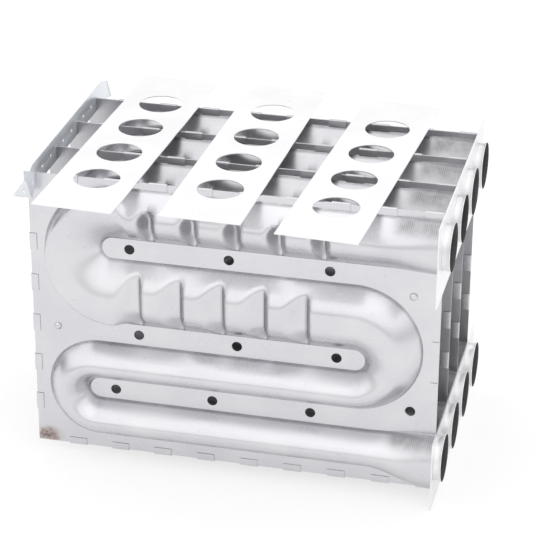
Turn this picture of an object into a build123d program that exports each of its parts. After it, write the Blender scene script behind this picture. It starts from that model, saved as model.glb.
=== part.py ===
from build123d import *
from math import cos, hypot, radians, sin, tan
import os

# Furnace heat exchanger: clamshell cells in a row, each of two stamped sheet
# halves with one serpentine passage between them.  Their tube ends pass
# through an inlet and an outlet plate, a comb bracket holds the closed end,
# and straps lie across the top.
# X runs from the closed end to the tube ends, Y from the front cell to the
# rear one, Z up.

# Driving dimensions, in millimetres and degrees.
CELL_COUNT = 4
CELL_PITCH = 80.4
CELL_LENGTH = 500.0
SHEET = 1.0

# Passes and the flat webs between them, from the bottom edge up.
BOTTOM_BAND = 20.0
FIRST_PASS = 52.0
LOWER_WEB = 26.0
SECOND_PASS = 52.0
MIDDLE_WEB = 27.0
THIRD_PASS = 86.5
UPPER_WEB = 26.5
FOURTH_PASS = 67.0
TOP_BAND = 9.0
SIDE_BAND = 19.0
UPPER_WEB_END = 91.0
PASS_DEPTH = 28.0
WALL_DRAFT = 25.0

# The turns are made of chords, which keep the number of facets low.
TURN_CHORDS = 12
WEB_END_CHORDS = 4

# The first pass widens towards the inlet.
INLET_DROP = 14.0
INLET_RISE = 3.0
INLET_SPREAD_START = 85.0
INLET_SPREAD_END = 20.0
INLET_TUBE_LIFT = 4.0

# Crimps pressed across the two upper passes.
CRIMP_COUNT = 5
CRIMP_MOUTH = 28.0
CRIMP_DEPTH = 17.0
THIRD_PASS_CRIMP = 132.0
THIRD_PASS_CRIMP_PITCH = 51.0
FOURTH_PASS_CRIMP = 149.0
FOURTH_PASS_CRIMP_PITCH = 52.0

# Tube ends.
TUBE_RADIUS = 27.0
TUBE_REACH = 11.5
TUBE_CLEARANCE = 0.3

# Plates on the tube ends.
PLATE_THICKNESS = 1.5
OUTLET_PLATE_HEIGHT = 100.0
OUTLET_PLATE_FRONT = 47.0
OUTLET_PLATE_BACK = 46.0
INLET_PLATE_HEIGHT = 90.0
INLET_PLATE_FRONT = 31.0
INLET_PLATE_BACK = 47.0

# Share of the inlet plate's spare height that lies below its holes.
INLET_FOOT_SHARE = 0.825

# Straps over the cells.
STRAP_THICKNESS = 1.0
STRAP_WIDTH = 97.0
STRAP_OVERHANG = 88.0
STRAP_HOLE_RADIUS = 27.5

# Each strap's place over the front cell, its turn about that place in degrees
# and how far it has slid to the front.
LEFT_STRAP_PLACE = 88.5
LEFT_STRAP_TURN = 2.3
LEFT_STRAP_SLIDE = 5.0
MIDDLE_STRAP_PLACE = 236.0
MIDDLE_STRAP_TURN = 1.4
MIDDLE_STRAP_SLIDE = 0.0
RIGHT_STRAP_PLACE = 378.0
RIGHT_STRAP_TURN = 3.2
RIGHT_STRAP_SLIDE = 17.0

# Comb bracket at the closed end.
BRACKET_THICKNESS = 1.2
BRACKET_INSET = 10.5
BRACKET_DEPTH = 13.5
BRACKET_RISE = 13.0
BRACKET_FRONT = 41.0
SLOT_CLEARANCE = 0.5

# A tab stands up at the bracket's front corner, before a shallow notch.
TAB_RISE = 5.0
TAB_DEPTH = 14.0
NOTCH_PLACE = 21.0
NOTCH_DEPTH = 5.0

# Ears bent out at both ends along folds that lean back.
EAR_HEIGHT = 28.0
EAR_LEAN = 16.5
EAR_REACH = 24.0
EAR_TIP = 5.5
EAR_HOLE_RADIUS = 2.0
EAR_HOLE_PLACE = 9.0
FRONT_EAR_PLACE = 32.5
BACK_EAR_PLACE = 45.0
BACK_EAR_RISE = 5.0

OVERRUN = 60.0
ALONG_X = Rot(0, 90, 0)


def stack_levels(*heights):
    """Heights added up from zero, one level after each."""
    levels, level = [], 0.0
    for height in heights:
        level += height
        levels.append(level)
    return levels


(PASS_1_LOW, PASS_1_HIGH, PASS_2_LOW, PASS_2_HIGH, PASS_3_LOW, PASS_3_HIGH,
 PASS_4_LOW, PASS_4_HIGH, CELL_HEIGHT) = stack_levels(
    BOTTOM_BAND, FIRST_PASS, LOWER_WEB, SECOND_PASS, MIDDLE_WEB, THIRD_PASS,
    UPPER_WEB, FOURTH_PASS, TOP_BAND)

INLET_LOW = PASS_1_LOW - INLET_DROP
INLET_HIGH = PASS_1_HIGH + INLET_RISE
INLET_AXIS = (INLET_LOW + INLET_HIGH) / 2 + INLET_TUBE_LIFT
OUTLET_AXIS = (PASS_4_LOW + PASS_4_HIGH) / 2
SEAMS = [index * CELL_PITCH for index in range(CELL_COUNT)]
TUBE_END = CELL_LENGTH + TUBE_REACH
PLATE_HOLE_RADIUS = TUBE_RADIUS + TUBE_CLEARANCE
INLET_PLATE_SPARE = INLET_PLATE_HEIGHT - 2 * PLATE_HOLE_RADIUS
INLET_PLATE_LOW = INLET_AXIS - PLATE_HOLE_RADIUS - INLET_FOOT_SHARE * INLET_PLATE_SPARE
OUTLET_PLATE_LOW = CELL_HEIGHT - OUTLET_PLATE_HEIGHT


def turn(centre_x, centre_z, radius, start, end, chords):
    """Chord points of a turn about its centre, angles in degrees."""
    angles = [radians(start + (end - start) * index / chords) for index in range(chords + 1)]
    return [(centre_x + radius * cos(angle), centre_z + radius * sin(angle)) for angle in angles]


def serpentine_outline(inset):
    """Points (x, z) of the passage's outline, drawn in by inset, run out past the tube ends."""
    far = CELL_LENGTH + OVERRUN
    spread_start = CELL_LENGTH - INLET_SPREAD_START
    spread_end = CELL_LENGTH - INLET_SPREAD_END
    small, right, large = [(high - low) / 2 for low, high in (
        (PASS_1_LOW, PASS_2_HIGH), (PASS_2_LOW, PASS_3_HIGH), (PASS_3_LOW, PASS_4_HIGH))]
    small_x, right_x, large_x = SIDE_BAND + small, CELL_LENGTH - SIDE_BAND - right, SIDE_BAND + large
    points = [(far, INLET_LOW + inset), (spread_end, INLET_LOW + inset), (spread_start, PASS_1_LOW + inset)]
    points += turn(small_x, PASS_1_LOW + small, small - inset, 270, 90, TURN_CHORDS)
    points += turn(right_x, (PASS_2_HIGH + PASS_3_LOW) / 2, MIDDLE_WEB / 2 + inset, -90, 90, WEB_END_CHORDS)
    points += turn(large_x, PASS_3_LOW + large, large - inset, 270, 90, TURN_CHORDS)
    points += [(far, PASS_4_HIGH - inset), (far, PASS_4_LOW + inset)]
    points += turn(UPPER_WEB_END + UPPER_WEB / 2, PASS_3_HIGH + UPPER_WEB / 2, UPPER_WEB / 2 + inset,
                   90, 270, WEB_END_CHORDS)
    points += turn(right_x, PASS_2_LOW + right, right - inset, 90, -90, TURN_CHORDS)
    points += turn(small_x, PASS_1_HIGH + LOWER_WEB / 2, LOWER_WEB / 2 + inset, 90, 270, WEB_END_CHORDS)
    points.append((spread_start, PASS_1_HIGH - inset))
    points += [(spread_end, INLET_HIGH - inset), (far, INLET_HIGH - inset)]
    return points


def flat_face(*corners):
    """Flat face through corners given as (x, y, z)."""
    return Face(Wire.make_polygon([Vector(*corner) for corner in corners], close=True))


def drafted_solid(base, crown, depth):
    """Solid between an outline on the seam plane and a smaller one at a depth before it."""
    base = [(x, 0, z) for x, z in base]
    crown = [(x, -depth, z) for x, z in crown]
    faces = [flat_face(*base), flat_face(*crown)]
    for index, corner in enumerate(base):
        faces.append(flat_face(base[index - 1], corner, crown[index], crown[index - 1]))
    return Solid(Shell(faces))


def crimp_cutter(centre_x, low, high, growth):
    """Wedge across a pass; growth moves its faces into the metal by a sheet."""
    slope = CRIMP_MOUTH / 2 / CRIMP_DEPTH
    apex_y = CRIMP_DEPTH - PASS_DEPTH + growth * hypot(1, slope) / slope
    mouth_y = -2 * PASS_DEPTH
    mouth = slope * (apex_y - mouth_y)
    with BuildSketch(Plane.XY.offset(low)) as sketch:
        with BuildLine():
            Polyline((centre_x - mouth, mouth_y), (centre_x, apex_y), (centre_x + mouth, mouth_y), close=True)
        make_face()
    return extrude(sketch.sketch, amount=high - low)


def crimp_all(solid, growth):
    """Press every crimp of the third and fourth pass into a solid."""
    overlap = UPPER_WEB / 4
    rows = ((THIRD_PASS_CRIMP, THIRD_PASS_CRIMP_PITCH, PASS_3_LOW - overlap, PASS_3_HIGH + overlap),
            (FOURTH_PASS_CRIMP, FOURTH_PASS_CRIMP_PITCH, PASS_4_LOW - overlap, PASS_4_HIGH + TOP_BAND / 2))
    for start, pitch, low, high in rows:
        for index in range(CRIMP_COUNT):
            solid = solid - crimp_cutter(start + index * pitch, low, high, growth)
    return solid


def pressed_form(inset, end_x):
    """The passage pressed out of the seam plane, its sides drafted, cut off at end_x."""
    base_inset = inset / cos(radians(WALL_DRAFT))
    depth = PASS_DEPTH - inset
    crown_inset = base_inset + depth * tan(radians(WALL_DRAFT))
    form = drafted_solid(serpentine_outline(base_inset), serpentine_outline(crown_inset), depth)
    keep = Box(end_x, PASS_DEPTH, CELL_HEIGHT, align=(Align.MIN, Align.MAX, Align.MIN))
    return crimp_all(form & keep, inset)


def tube_half(axis_z, inset, start_x):
    """Half of a tube end, filled, to the front; inset leaves room for the sheet."""
    with BuildSketch(Plane.YZ.offset(start_x)) as sketch:
        with Locations((0, axis_z)):
            Circle(TUBE_RADIUS - inset)
        with Locations((0, axis_z)):
            Rectangle(2 * TUBE_RADIUS, 2 * TUBE_RADIUS, align=(Align.MIN, Align.CENTER), mode=Mode.SUBTRACT)
    return extrude(sketch.sketch, amount=TUBE_END - start_x)


def stamped_half():
    """Front half of a cell, its mating face on the plane y = 0."""
    half = Box(CELL_LENGTH, SHEET, CELL_HEIGHT, align=(Align.MIN, Align.MAX, Align.MIN))
    half = half + pressed_form(0, CELL_LENGTH)
    wall_start = CELL_LENGTH - SHEET
    for axis_z in (INLET_AXIS, OUTLET_AXIS):
        half = half + tube_half(axis_z, 0, wall_start)
    half = half - pressed_form(SHEET, wall_start)
    for axis_z in (INLET_AXIS, OUTLET_AXIS):
        half = half - tube_half(axis_z, SHEET, wall_start - SHEET)
    return half


def tube_plate(low, height, axis_z, front, back):
    """Upright plate that the tube ends of all cells pass through."""
    length = front + SEAMS[-1] + back
    plate = Pos(CELL_LENGTH, -front, low) * Box(
        PLATE_THICKNESS, length, height, align=(Align.MIN, Align.MIN, Align.MIN))
    for seam in SEAMS:
        hole = Cylinder(PLATE_HOLE_RADIUS, 4 * PLATE_THICKNESS)
        plate = plate - Pos(CELL_LENGTH, seam, axis_z) * ALONG_X * hole
    return plate


def strap(centre_x, turn, slide):
    """Flat strap with a round hole over each cell, turned about the front cell."""
    length = SEAMS[-1] + 2 * STRAP_OVERHANG
    middle = SEAMS[-1] / 2
    bar = Pos(0, middle, 0) * Box(
        STRAP_WIDTH, length, STRAP_THICKNESS, align=(Align.CENTER, Align.CENTER, Align.MIN))
    for seam in SEAMS:
        bar = bar - Pos(0, seam, 0) * Cylinder(STRAP_HOLE_RADIUS, 4 * STRAP_THICKNESS)
    return Pos(centre_x, 0, CELL_HEIGHT) * Rot(0, 0, -turn) * Pos(0, -slide, 0) * bar


def bracket_ear(top_y, top_z):
    """Ear bent out along a leaning fold that starts at (top_y, top_z), with a hole."""
    fold = BRACKET_INSET + BRACKET_THICKNESS
    low_y, low_z = top_y + EAR_LEAN, top_z - EAR_HEIGHT
    face = flat_face((fold, top_y, top_z), (fold - EAR_TIP, top_y, top_z),
                     (fold - EAR_REACH, low_y, low_z), (fold, low_y, low_z))
    inwards = Vector(0, EAR_HEIGHT, EAR_LEAN).normalized()
    ear = Solid.extrude(face, inwards * BRACKET_THICKNESS)
    share = 1 - EAR_HOLE_PLACE / EAR_HEIGHT
    centre = Vector(fold - EAR_HOLE_PLACE, top_y + share * EAR_LEAN, top_z - share * EAR_HEIGHT)
    return ear - Plane(origin=centre, z_dir=inwards) * Cylinder(EAR_HOLE_RADIUS, 4 * BRACKET_THICKNESS)


def comb_bracket():
    """Upright rail that sits astride the cells' closed ends in its slots."""
    low, high = CELL_HEIGHT - BRACKET_DEPTH, CELL_HEIGHT + BRACKET_RISE
    slot_width = 2 * (SHEET + SLOT_CLEARANCE)
    front_ear = (-FRONT_EAR_PLACE, CELL_HEIGHT)
    back_ear = (SEAMS[-1] + BACK_EAR_PLACE, CELL_HEIGHT + BACK_EAR_RISE)
    tab_top = high + TAB_RISE
    outline = [
        (front_ear[0] + EAR_LEAN, front_ear[1] - EAR_HEIGHT), front_ear,
        (-BRACKET_FRONT, tab_top - TAB_DEPTH), (-BRACKET_FRONT, tab_top), (-NOTCH_PLACE, high - NOTCH_DEPTH),
        (-NOTCH_PLACE / 2, high), (SEAMS[-1] + BACK_EAR_PLACE / 2, high), back_ear,
        (back_ear[0] + EAR_LEAN, back_ear[1] - EAR_HEIGHT), (back_ear[0], low), (-slot_width, low)]
    with BuildSketch(Plane.YZ.offset(BRACKET_INSET)) as sketch:
        with BuildLine():
            Polyline(*outline, close=True)
        make_face()
    rail = extrude(sketch.sketch, amount=BRACKET_THICKNESS)
    rail = rail + bracket_ear(*front_ear) + bracket_ear(*back_ear)
    for seam in SEAMS:
        rail = rail - Pos(BRACKET_INSET, seam, low) * Box(
            4 * BRACKET_THICKNESS, slot_width, BRACKET_DEPTH, align=(Align.CENTER, Align.CENTER, Align.MIN))
    return rail


def build():
    """Every piece in place, by node name."""
    pieces = {}
    front = stamped_half()
    rear = mirror(front, about=Plane.XZ)
    for index, seam in enumerate(SEAMS, 1):
        pieces[f"cell_{index}_front_half"] = Pos(0, seam, 0) * front
        pieces[f"cell_{index}_rear_half"] = Pos(0, seam, 0) * rear
    pieces["outlet_plate"] = tube_plate(
        OUTLET_PLATE_LOW, OUTLET_PLATE_HEIGHT, OUTLET_AXIS, OUTLET_PLATE_FRONT, OUTLET_PLATE_BACK)
    pieces["inlet_plate"] = tube_plate(
        INLET_PLATE_LOW, INLET_PLATE_HEIGHT, INLET_AXIS, INLET_PLATE_FRONT, INLET_PLATE_BACK)
    pieces["left_strap"] = strap(LEFT_STRAP_PLACE, LEFT_STRAP_TURN, LEFT_STRAP_SLIDE)
    pieces["middle_strap"] = strap(MIDDLE_STRAP_PLACE, MIDDLE_STRAP_TURN, MIDDLE_STRAP_SLIDE)
    pieces["right_strap"] = strap(RIGHT_STRAP_PLACE, RIGHT_STRAP_TURN, RIGHT_STRAP_SLIDE)
    pieces["comb_bracket"] = comb_bracket()
    return pieces


def main():
    os.makedirs("parts", exist_ok=True)
    pieces = build()
    boxes = [piece.bounding_box() for piece in pieces.values()]
    centre_x = (min(box.min.X for box in boxes) + max(box.max.X for box in boxes)) / 2
    centre_y = (min(box.min.Y for box in boxes) + max(box.max.Y for box in boxes)) / 2
    bottom = min(box.min.Z for box in boxes)
    print("origin in the seam frame:", centre_x, centre_y, bottom)
    for name, piece in pieces.items():
        export_step(Pos(-centre_x, -centre_y, -bottom) * piece, f"parts/{name}.step")


main()
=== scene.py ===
"""Furnace heat exchanger: stamped clamshell cells, tube plates, comb bracket and straps."""

import logging
from dataclasses import dataclass
from enum import Enum
from math import cos, pi, radians, sin
from typing import Any

import bpy
from mathutils import Matrix, Vector


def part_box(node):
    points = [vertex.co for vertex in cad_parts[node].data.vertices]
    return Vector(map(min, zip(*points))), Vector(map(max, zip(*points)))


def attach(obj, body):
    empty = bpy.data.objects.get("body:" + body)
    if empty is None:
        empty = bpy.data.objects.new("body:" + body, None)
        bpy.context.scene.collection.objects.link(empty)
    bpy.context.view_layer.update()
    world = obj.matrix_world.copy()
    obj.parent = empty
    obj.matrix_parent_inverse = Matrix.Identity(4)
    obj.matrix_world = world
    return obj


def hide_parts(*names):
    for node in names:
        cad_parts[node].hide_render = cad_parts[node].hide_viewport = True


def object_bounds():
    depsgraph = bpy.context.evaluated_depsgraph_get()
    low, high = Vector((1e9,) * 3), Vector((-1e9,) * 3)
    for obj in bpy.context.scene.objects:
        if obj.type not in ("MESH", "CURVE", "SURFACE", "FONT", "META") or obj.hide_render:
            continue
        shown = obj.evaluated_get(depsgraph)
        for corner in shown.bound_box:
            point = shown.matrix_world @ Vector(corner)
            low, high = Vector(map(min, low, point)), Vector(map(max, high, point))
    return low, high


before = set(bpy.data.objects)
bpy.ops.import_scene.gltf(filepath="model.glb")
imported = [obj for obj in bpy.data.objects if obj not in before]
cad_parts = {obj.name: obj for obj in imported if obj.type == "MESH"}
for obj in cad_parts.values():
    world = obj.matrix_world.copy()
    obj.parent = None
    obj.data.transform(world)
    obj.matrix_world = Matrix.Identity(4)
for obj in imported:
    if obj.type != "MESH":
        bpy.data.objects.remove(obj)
CAD_BOX = [list(corner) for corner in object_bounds()]

log = logging.getLogger("heat_exchanger")

MM = 0.001
PHOTO_SIZE = 550

Socket = bpy.types.NodeSocket
Colour = tuple[float, float, float]
# Two measures in mm, mostly a point: x and z on a cell, y and z on the bracket.
Spot = tuple[float, float]
# x, height over the flat sheet and z in mm, and how strong the draw marks and the painted shade are.
SheetPoint = tuple[float, float, float, float]


class Edge(Enum):
    """An edge of a cell, seen from the front."""

    BOTTOM = "bottom"
    TOP = "top"
    CLOSED = "closed"
    OPEN = "open"


# Small helpers


def ease(share: float) -> float:
    """A smooth step from 0 to 1."""
    share = min(1.0, max(0.0, share))
    return share * share * (3 - 2 * share)


def soft_lower(first: float, second: float, softness: float) -> float:
    """The lower of two heights, rounded where they meet.

    Args:
        first: One height.
        second: The other height.
        softness: How far apart the heights may be and still be rounded.

    Returns:
        A height that is never above either of them and never below zero.
    """
    softness = min(softness, 1.5 * min(first, second))
    if softness <= 0:
        return min(first, second)
    overlap = max(softness - abs(first - second), 0.0) / softness
    return min(first, second) - overlap * overlap * softness / 4


# Helpers for working with bpy.ops


def start_clean() -> None:
    """Leave edit mode and deselect everything."""
    if bpy.context.object and bpy.context.object.mode != "OBJECT":
        bpy.ops.object.mode_set(mode="OBJECT")
    bpy.ops.object.select_all(action="DESELECT")


def make_active(piece: bpy.types.Object) -> None:
    """Select one object alone and make it active.

    Args:
        piece: The object.
    """
    start_clean()
    piece.select_set(True)
    bpy.context.view_layer.objects.active = piece


def apply_modifier(piece: bpy.types.Object, kind: str, **settings: Any) -> None:
    """Add a modifier and apply it at once.

    Args:
        piece: The mesh object to change.
        kind: Blender's modifier type, such as SOLIDIFY.
        settings: Modifier properties by name.
    """
    make_active(piece)
    modifier = piece.modifiers.new(kind.title(), kind)
    for key, value in settings.items():
        setattr(modifier, key, value)
    bpy.ops.object.modifier_apply(modifier=modifier.name)


def bake_place(piece: bpy.types.Object) -> None:
    """Move an object's place, turn and size into its mesh."""
    make_active(piece)
    bpy.ops.object.transform_apply(location=True, rotation=True, scale=True)


def join_pieces(pieces: list[bpy.types.Object], name: str) -> bpy.types.Object:
    """Join mesh objects into one.

    Args:
        pieces: The objects to join; the first keeps its place.
        name: The new name of the object and its mesh.

    Returns:
        The joined object.
    """
    start_clean()
    for piece in pieces:
        piece.select_set(True)
    bpy.context.view_layer.objects.active = pieces[0]
    if len(pieces) > 1:
        bpy.ops.object.join()
    joined = bpy.context.object
    joined.name = name
    joined.data.name = name
    return joined


def copy_piece(piece: bpy.types.Object, name: str, move: Vector) -> bpy.types.Object:
    """Copy an object with its own mesh and move the copy's mesh.

    Args:
        piece: The object to copy.
        name: The copy's name.
        move: How far to move it, in metres.

    Returns:
        The copy, whose object stays at the origin.
    """
    twin = piece.copy()
    twin.data = piece.data.copy()
    twin.name = name
    twin.data.name = name
    bpy.context.scene.collection.objects.link(twin)
    twin.data.transform(Matrix.Translation(move))
    return twin


def finish_piece(piece: bpy.types.Object, materials: list[bpy.types.Material], slot: str,
                 *nodes: str) -> None:
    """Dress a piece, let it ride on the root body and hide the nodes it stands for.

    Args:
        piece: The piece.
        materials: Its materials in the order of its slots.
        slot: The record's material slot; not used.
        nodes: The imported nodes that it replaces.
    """
    while len(piece.data.materials) < len(materials):
        piece.data.materials.append(None)
    for index, material in enumerate(materials):
        piece.data.materials[index] = material
    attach(piece, "root")
    if nodes:
        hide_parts(*nodes)
    log.info("%s: %d faces", piece.name, len(piece.data.polygons))


# Where things are


@dataclass(frozen=True)
class Layout:
    """The seam frame: x from the closed end, y from the first seam, z from the cells' bottom, in mm.

    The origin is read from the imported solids, so every piece follows them.
    """

    origin: Vector
    length: float
    height: float
    pitch: float
    count: int

    @classmethod
    def from_frame(cls) -> "Layout":
        """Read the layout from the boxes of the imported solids.

        Returns:
            The layout.
        """
        count = sum(name.endswith("_front_half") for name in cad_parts)
        low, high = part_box("cell_1_front_half")
        next_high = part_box("cell_2_front_half")[1]
        plate_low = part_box("outlet_plate")[0]
        origin = Vector((low.x, high.y, low.z))
        length = (plate_low.x - low.x) / MM
        height = (high.z - low.z) / MM
        pitch = (next_high.y - high.y) / MM
        return cls(origin, length, height, pitch, count)

    def place(self, x: float, y: float, z: float) -> Vector:
        """Turn seam frame millimetres into row frame metres."""
        return self.origin + Vector((x, y, z)) * MM


# Finishes


class NodeSheet:
    """A material's node tree with short calls for the nodes this object uses."""

    def __init__(self, name: str) -> None:
        """Start a material whose tree holds only a shader and an output.

        Args:
            name: The material's name.
        """
        self.material = bpy.data.materials.new(name)
        self.material.use_nodes = True
        self.nodes = self.material.node_tree.nodes
        self.links = self.material.node_tree.links
        self.nodes.clear()
        self.output = self.nodes.new("ShaderNodeOutputMaterial")
        self.shader = self.nodes.new("ShaderNodeBsdfPrincipled")
        self.links.new(self.shader.outputs[0], self.output.inputs[0])
        self.place = self.nodes.new("ShaderNodeTexCoord").outputs["Object"]

    def add(self, kind: str, **settings: Any) -> bpy.types.Node:
        """Add a node and set its properties.

        Args:
            kind: Blender's node type without ShaderNode.
            settings: Node properties by name.

        Returns:
            The node.
        """
        node = self.nodes.new("ShaderNode" + kind)
        for key, value in settings.items():
            setattr(node, key, value)
        return node

    def join(self, source: Socket, target: Socket) -> None:
        """Link an output to an input."""
        self.links.new(source, target)

    def stretch(self, scale: tuple[float, float, float],
                centre: tuple[float, float, float] = (0, 0, 0)) -> Socket:
        """Object coordinates, centred and then scaled along each axis.

        Args:
            scale: Scale along x, y and z.
            centre: The place that becomes the origin, in metres.

        Returns:
            The coordinates.
        """
        node = self.add("Mapping")
        self.join(self.place, node.inputs["Vector"])
        node.inputs["Scale"].default_value = scale
        node.inputs["Location"].default_value = [-part * factor for part, factor in zip(centre, scale)]
        return node.outputs[0]

    def noise(self, vector: Socket, scale: float, detail: float = 3.0, roughness: float = 0.5) -> Socket:
        """Noise on the given coordinates.

        Args:
            vector: The coordinates.
            scale: Cells of the pattern per unit.
            detail: How many finer layers it has.
            roughness: How strong the finer layers are.

        Returns:
            The noise, 0 to 1.
        """
        node = self.add("TexNoise")
        self.join(vector, node.inputs["Vector"])
        node.inputs["Scale"].default_value = scale
        node.inputs["Detail"].default_value = detail
        node.inputs["Roughness"].default_value = roughness
        return node.outputs[0]

    def span(self, value: Socket, low: float, high: float, to_low: float = 0.0,
             to_high: float = 1.0) -> Socket:
        """Map a value from one range to another and clamp it.

        Args:
            value: The value.
            low: Start of its range.
            high: End of its range.
            to_low: What low becomes.
            to_high: What high becomes.

        Returns:
            The mapped value.
        """
        node = self.add("MapRange")
        self.join(value, node.inputs["Value"])
        for key, number in zip(("From Min", "From Max", "To Min", "To Max"), (low, high, to_low, to_high)):
            node.inputs[key].default_value = number
        return node.outputs[0]

    def math(self, operation: str, first: Socket | float, second: Socket | float) -> Socket:
        """Work out one value from two.

        Args:
            operation: Blender's name of the operation.
            first: A value or a number.
            second: A value or a number.

        Returns:
            The result.
        """
        node = self.add("Math", operation=operation)
        for socket, value in zip(node.inputs, (first, second)):
            if isinstance(value, (int, float)):
                socket.default_value = value
            else:
                self.join(value, socket)
        return node.outputs[0]

    def mix(self, factor: Socket | float, first: Socket | Colour, second: Socket | Colour) -> Socket:
        """Mix two colours.

        Args:
            factor: Share of the second colour.
            first: A colour or an output.
            second: A colour or an output.

        Returns:
            The mixed colour.
        """
        node = self.add("Mix", data_type="RGBA")
        for socket, value in zip((node.inputs[0], node.inputs[6], node.inputs[7]), (factor, first, second)):
            if isinstance(value, (int, float)):
                socket.default_value = value
            elif isinstance(value, tuple):
                socket.default_value = (*value, 1.0)
            else:
                self.join(value, socket)
        return node.outputs[2]

    def bump(self, height: Socket, strength: float, distance: float, below: Socket | None = None) -> Socket:
        """Turn a height into a bump.

        Args:
            height: The height, 0 to 1.
            strength: How strong the bump is.
            distance: How high 1 stands, in metres.
            below: Another bump that it lies on, if any.

        Returns:
            The bent normal.
        """
        node = self.add("Bump")
        self.join(height, node.inputs["Height"])
        node.inputs["Strength"].default_value = strength
        node.inputs["Distance"].default_value = distance
        if below is not None:
            self.join(below, node.inputs["Normal"])
        return node.outputs[0]


@dataclass(frozen=True)
class SheetFinish:
    """Coated steel sheet: pale metal with rolling lines, soft blotches and, on stamped parts, draw marks with
    painted shade: dark crease lines, dark crimp walls and a dark band near the outlet.
    """

    name: str
    pale: Colour
    dark: Colour
    metallic: float
    roughness: float
    draw_marks_and_shade: bool = False
    burn_at: tuple[float, float, float] | None = None
    specular: float = 0.5
    relief: float = 0.0004

    def build(self) -> bpy.types.Material:
        """Make the material.

        Returns:
            The finished node material.
        """
        sheet = NodeSheet(self.name)
        blotch = sheet.noise(sheet.stretch((1, 1, 1)), 14.0, 4.0, 0.55)
        rolled = sheet.noise(sheet.stretch((3, 60, 200)), 3.0, 3.0, 0.6)
        grain = sheet.noise(sheet.stretch((1, 1, 1)), 900.0, 2.0, 0.6)
        shade = sheet.math("ADD", sheet.math("MULTIPLY", blotch, 0.82), sheet.math("MULTIPLY", rolled, 0.18))
        colour = sheet.mix(sheet.span(shade, 0.35, 0.65), self.dark, self.pale)
        speckle = sheet.noise(sheet.stretch((1, 1, 1), (0.3, 0.1, 0.2)), 160.0, 2.0, 0.4)
        spots = sheet.math("MULTIPLY", sheet.span(speckle, 0.7, 0.78), 0.25)
        colour = sheet.mix(spots, colour, tuple(part * 0.6 for part in self.dark))
        height = sheet.math("ADD", sheet.math("MULTIPLY", rolled, 0.5), sheet.math("MULTIPLY", grain, 0.5))
        normal = sheet.bump(height, 0.12, self.relief)
        if self.draw_marks_and_shade:
            colour, normal = self.rub_and_shade(sheet, colour, normal)
        if self.burn_at:
            colour = self.burn(sheet, colour)
        sheet.join(colour, sheet.shader.inputs["Base Color"])
        sheet.join(sheet.span(blotch, 0.3, 0.7, self.roughness - 0.05, self.roughness + 0.07),
                   sheet.shader.inputs["Roughness"])
        sheet.join(normal, sheet.shader.inputs["Normal"])
        sheet.shader.inputs["Metallic"].default_value = self.metallic
        sheet.shader.inputs["Specular IOR Level"].default_value = self.specular
        return sheet.material

    def rub_and_shade(self, sheet: NodeSheet, colour: Socket, normal: Socket) -> tuple[Socket, Socket]:
        """Draw fine dark lines of press wear and darken the sheet as painted shade, as the mesh attribute
        says.

        Args:
            sheet: The node tree.
            colour: The clean colour.
            normal: The clean sheet's normal.

        Returns:
            The sheet's colour with draw marks and painted shade, and its normal.
        """
        # The attribute holds real draw marks and painted shade in one: crease lines, crimp walls and the band
        # near the outlet.
        mark_and_shade = sheet.add("Attribute", attribute_name="draw_and_shade").outputs["Fac"]
        lines = sheet.add("TexWave", wave_type="BANDS", bands_direction="X", wave_profile="SIN")
        sheet.join(sheet.stretch((1, 1, 0.04)), lines.inputs["Vector"])
        lines.inputs["Scale"].default_value = 140.0
        lines.inputs["Distortion"].default_value = 3.5
        lines.inputs["Detail"].default_value = 2.0
        lines.inputs["Detail Scale"].default_value = 40.0
        broken = sheet.span(sheet.noise(sheet.stretch((30, 30, 5)), 3.0, 2.0, 0.6), 0.35, 0.6)
        strength = sheet.math("MULTIPLY", sheet.math("MULTIPLY", lines.outputs[0], broken), mark_and_shade)
        normal = sheet.bump(strength, 0.2, self.relief, normal)
        # Painted shade: the attribute darkens the colour outright, besides the fine lines.
        shade = sheet.math("ADD", sheet.math("MULTIPLY", strength, 0.35), sheet.math("MULTIPLY", mark_and_shade, 0.5))
        return sheet.mix(shade, colour, tuple(part * 0.3 for part in self.dark)), normal

    def burn(self, sheet: NodeSheet, colour: Socket) -> Socket:
        """Lay a heat stain over a colour round burn_at.

        Args:
            sheet: The node tree.
            colour: The clean colour's output.

        Returns:
            The stained colour's output.
        """
        spread = sheet.noise(sheet.stretch((1, 1, 1)), 75.0, 5.0, 0.65)
        patches = sheet.span(sheet.noise(sheet.stretch((1, 1, 1)), 210.0, 3.0, 0.6), 0.38, 0.62, 0.25, 1.0)
        away = sheet.add("VectorMath", operation="LENGTH")
        sheet.join(sheet.stretch((1, 1, 1.6), self.burn_at), away.inputs[0])
        distance = sheet.math("ADD", away.outputs["Value"], sheet.math("MULTIPLY", spread, 0.026))
        rim = sheet.math("MULTIPLY", sheet.span(distance, 0.038, 0.024), 0.5)
        core = sheet.math("MULTIPLY", sheet.span(distance, 0.030, 0.018), patches)
        colour = sheet.mix(rim, colour, (0.36, 0.25, 0.18))
        return sheet.mix(sheet.math("MULTIPLY", core, 0.8), colour, (0.13, 0.08, 0.08))


# Stamped cells


@dataclass(frozen=True)
class Station:
    """One cross-section of the passage, from its first edge to its second, in mm.

    round_first and round_second are how wide its shoulders are, fullness how near it is to a
    half circle, crimp how deep it is pressed, rubbed_and_shaded how dark its draw marks and the
    painted shade on its crimp walls are (0 to 1 each), floor the height that a crimp leaves, and
    run_in how far a crimp takes to start at the top.
    """

    first: Spot
    second: Spot
    round_first: float
    round_second: float
    fullness: float = 0.0
    crimp: float = 0.0
    rubbed_and_shaded: float = 0.0
    floor: float = 0.0
    run_in: float = 12.0


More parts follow.
